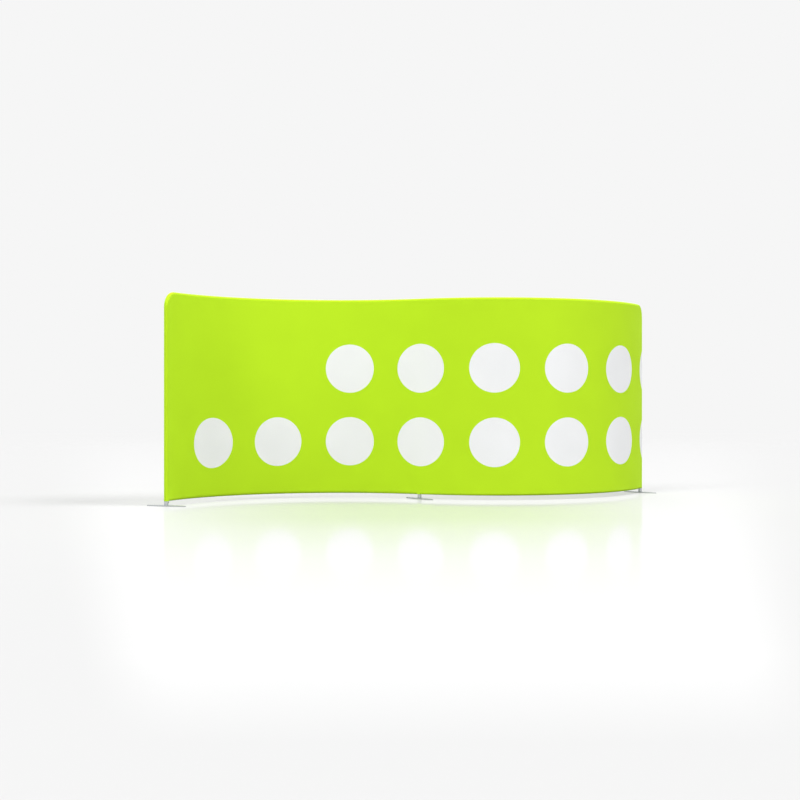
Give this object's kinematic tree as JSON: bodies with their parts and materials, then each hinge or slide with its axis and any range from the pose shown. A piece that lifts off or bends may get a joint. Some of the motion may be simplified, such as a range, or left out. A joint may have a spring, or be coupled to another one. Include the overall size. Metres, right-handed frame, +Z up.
{
  "type": "display wall",
  "caption": "Serpentine free-standing display wall: a bent tube frame in a zipped stretch-fabric cover, on flat swivelling feet.",
  "frame": {"origin": "on the floor under the middle post's axis, in the centre of the middle base plate's underside", "axes": "+Z up; +X along the wall from the left end post to the right one; the front of the wall faces -Y, with the left half bending away to +Y and the right half bulging to -Y"},
  "size_m": [6.2398, 1.4062, 2.34],
  "materials": {
    "tube_aluminium": "satin anodised tube",
    "peg_aluminium": "turned",
    "plate_steel": "silver powder coat",
    "button_steel": "bright steel",
    "moulded_nylon": "moulded nylon",
    "stretch_knit": "knitted polyester",
    "zip_tape": "woven tape",
    "zip_metal": "plated zinc"
  },
  "bodies": {
    "frame": {"centre_upright_lower": "tube_aluminium", "centre_upright_upper": "tube_aluminium", "left_upright_lower": "tube_aluminium", "left_upright_upper": "tube_aluminium", "top_rail_left_outer": "tube_aluminium", "top_rail_left_inner": "tube_aluminium", "bottom_rail_left_outer": "tube_aluminium", "bottom_rail_left_inner": "tube_aluminium", "left_spreader_lower": "tube_aluminium", "left_spreader_upper": "tube_aluminium", "left_spreader_bottom_saddle": "moulded_nylon", "left_spreader_top_saddle": "moulded_nylon", "left_zip_front_tape": "zip_tape", "left_zip_back_tape": "zip_tape", "right_upright_lower": "tube_aluminium", "right_upright_upper": "tube_aluminium", "top_rail_right_outer": "tube_aluminium", "top_rail_right_inner": "tube_aluminium", "bottom_rail_right_outer": "tube_aluminium", "bottom_rail_right_inner": "tube_aluminium", "right_spreader_lower": "tube_aluminium", "right_spreader_upper": "tube_aluminium", "right_spreader_bottom_saddle": "moulded_nylon", "right_spreader_top_saddle": "moulded_nylon", "right_zip_front_tape": "zip_tape", "right_zip_back_tape": "zip_tape", "front_cover": "stretch_knit", "back_cover": "stretch_knit"},
    "left_foot": {"left_base_plate": "plate_steel", "left_post_peg": "peg_aluminium"},
    "centre_foot": {"centre_base_plate": "plate_steel", "centre_post_peg": "peg_aluminium"},
    "right_foot": {"right_base_plate": "plate_steel", "right_post_peg": "peg_aluminium"},
    "centre_post_snap": {"centre_post_button": "button_steel"},
    "left_top_corner_snap": {"left_top_corner_button": "button_steel"},
    "left_top_middle_snap": {"left_top_middle_button": "button_steel"},
    "left_top_centre_snap": {"left_top_centre_button": "button_steel"},
    "left_bottom_end_snap": {"left_bottom_end_button": "button_steel"},
    "left_bottom_middle_snap": {"left_bottom_middle_button": "button_steel"},
    "left_bottom_centre_snap": {"left_bottom_centre_button": "button_steel"},
    "left_post_snap": {"left_post_button": "button_steel"},
    "left_spreader_snap": {"left_spreader_button": "button_steel"},
    "right_top_corner_snap": {"right_top_corner_button": "button_steel"},
    "right_top_middle_snap": {"right_top_middle_button": "button_steel"},
    "right_top_centre_snap": {"right_top_centre_button": "button_steel"},
    "right_bottom_end_snap": {"right_bottom_end_button": "button_steel"},
    "right_bottom_middle_snap": {"right_bottom_middle_button": "button_steel"},
    "right_bottom_centre_snap": {"right_bottom_centre_button": "button_steel"},
    "right_post_snap": {"right_post_button": "button_steel"},
    "right_spreader_snap": {"right_spreader_button": "button_steel"},
    "left_zip_slide": {"left_zip_slider": "zip_metal"},
    "left_zip_tab": {"left_zip_pull": "zip_metal"},
    "right_zip_slide": {"right_zip_slider": "zip_metal"},
    "right_zip_tab": {"right_zip_pull": "zip_metal"}
  },
  "joints": [
    {"name": "left_foot_swivel", "type": "hinge", "parent": "frame", "child": "left_foot", "pos_m": [-2.9775, 0, 0], "axis": [0, 0, 1], "continuous": true},
    {"name": "centre_foot_swivel", "type": "hinge", "parent": "frame", "child": "centre_foot", "pos_m": [0, 0, 0], "axis": [0, 0, 1], "continuous": true},
    {"name": "right_foot_swivel", "type": "hinge", "parent": "frame", "child": "right_foot", "pos_m": [2.9775, 0, 0], "axis": [0, 0, 1], "continuous": true},
    {"name": "centre_post_press", "type": "slide", "parent": "frame", "child": "centre_post_snap", "axis": [-0.6912, 0.7227, 0], "range_m": [0, 0.0051], "stiffness_N_per_m": 400, "springref_m": -0.004},
    {"name": "left_top_corner_press", "type": "slide", "parent": "frame", "child": "left_top_corner_snap", "axis": [0, 0, 1], "range_m": [0, 0.0051], "stiffness_N_per_m": 400, "springref_m": -0.004},
    {"name": "left_top_middle_press", "type": "slide", "parent": "frame", "child": "left_top_middle_snap", "axis": [0, 0, 1], "range_m": [0, 0.0051], "stiffness_N_per_m": 400, "springref_m": -0.004},
    {"name": "left_top_centre_press", "type": "slide", "parent": "frame", "child": "left_top_centre_snap", "axis": [0, 0, 1], "range_m": [0, 0.0051], "stiffness_N_per_m": 400, "springref_m": -0.004},
    {"name": "left_bottom_end_press", "type": "slide", "parent": "frame", "child": "left_bottom_end_snap", "axis": [0, 0, -1], "range_m": [0, 0.0051], "stiffness_N_per_m": 400, "springref_m": -0.004},
    {"name": "left_bottom_middle_press", "type": "slide", "parent": "frame", "child": "left_bottom_middle_snap", "axis": [0, 0, -1], "range_m": [0, 0.0051], "stiffness_N_per_m": 400, "springref_m": -0.004},
    {"name": "left_bottom_centre_press", "type": "slide", "parent": "frame", "child": "left_bottom_centre_snap", "axis": [0, 0, -1], "range_m": [0, 0.0051], "stiffness_N_per_m": 400, "springref_m": -0.004},
    {"name": "left_post_press", "type": "slide", "parent": "frame", "child": "left_post_snap", "axis": [-0.6912, -0.7227, 0], "range_m": [0, 0.0051], "stiffness_N_per_m": 400, "springref_m": -0.004},
    {"name": "left_spreader_press", "type": "slide", "parent": "frame", "child": "left_spreader_snap", "axis": [-0.9989, 0.0475, 0], "range_m": [0, 0.0051], "stiffness_N_per_m": 400, "springref_m": -0.004},
    {"name": "right_top_corner_press", "type": "slide", "parent": "frame", "child": "right_top_corner_snap", "axis": [0, 0, 1], "range_m": [0, 0.0051], "stiffness_N_per_m": 400, "springref_m": -0.004},
    {"name": "right_top_middle_press", "type": "slide", "parent": "frame", "child": "right_top_middle_snap", "axis": [0, 0, 1], "range_m": [0, 0.0051], "stiffness_N_per_m": 400, "springref_m": -0.004},
    {"name": "right_top_centre_press", "type": "slide", "parent": "frame", "child": "right_top_centre_snap", "axis": [0, 0, 1], "range_m": [0, 0.0051], "stiffness_N_per_m": 400, "springref_m": -0.004},
    {"name": "right_bottom_end_press", "type": "slide", "parent": "frame", "child": "right_bottom_end_snap", "axis": [0, 0, -1], "range_m": [0, 0.0051], "stiffness_N_per_m": 400, "springref_m": -0.004},
    {"name": "right_bottom_middle_press", "type": "slide", "parent": "frame", "child": "right_bottom_middle_snap", "axis": [0, 0, -1], "range_m": [0, 0.0051], "stiffness_N_per_m": 400, "springref_m": -0.004},
    {"name": "right_bottom_centre_press", "type": "slide", "parent": "frame", "child": "right_bottom_centre_snap", "axis": [0, 0, -1], "range_m": [0, 0.0051], "stiffness_N_per_m": 400, "springref_m": -0.004},
    {"name": "right_post_press", "type": "slide", "parent": "frame", "child": "right_post_snap", "axis": [0.6912, 0.7227, 0], "range_m": [0, 0.0051], "stiffness_N_per_m": 400, "springref_m": -0.004},
    {"name": "right_spreader_press", "type": "slide", "parent": "frame", "child": "right_spreader_snap", "axis": [0.9989, -0.0475, 0], "range_m": [0, 0.0051], "stiffness_N_per_m": 400, "springref_m": -0.004},
    {"name": "left_zip_travel", "type": "hinge", "parent": "frame", "child": "left_zip_slide", "pos_m": [-1.48875, -1.29415, 0], "axis": [0, 0, 1], "range_deg": [-95.07, 0]},
    {"name": "left_pull_swing", "type": "hinge", "parent": "left_zip_slide", "child": "left_zip_tab", "pos_m": [-2.94388, 0.03769, 0.0521], "axis": [0.7377, -0.6752, 0], "range_deg": [-85, 85]},
    {"name": "right_zip_travel", "type": "hinge", "parent": "frame", "child": "right_zip_slide", "pos_m": [1.48875, 1.29415, 0], "axis": [0, 0, 1], "range_deg": [-95.07, 0]},
    {"name": "right_pull_swing", "type": "hinge", "parent": "right_zip_slide", "child": "right_zip_tab", "pos_m": [2.94388, -0.03769, 0.0521], "axis": [0.7377, -0.6752, 0], "range_deg": [-85, 85]}
  ]
}
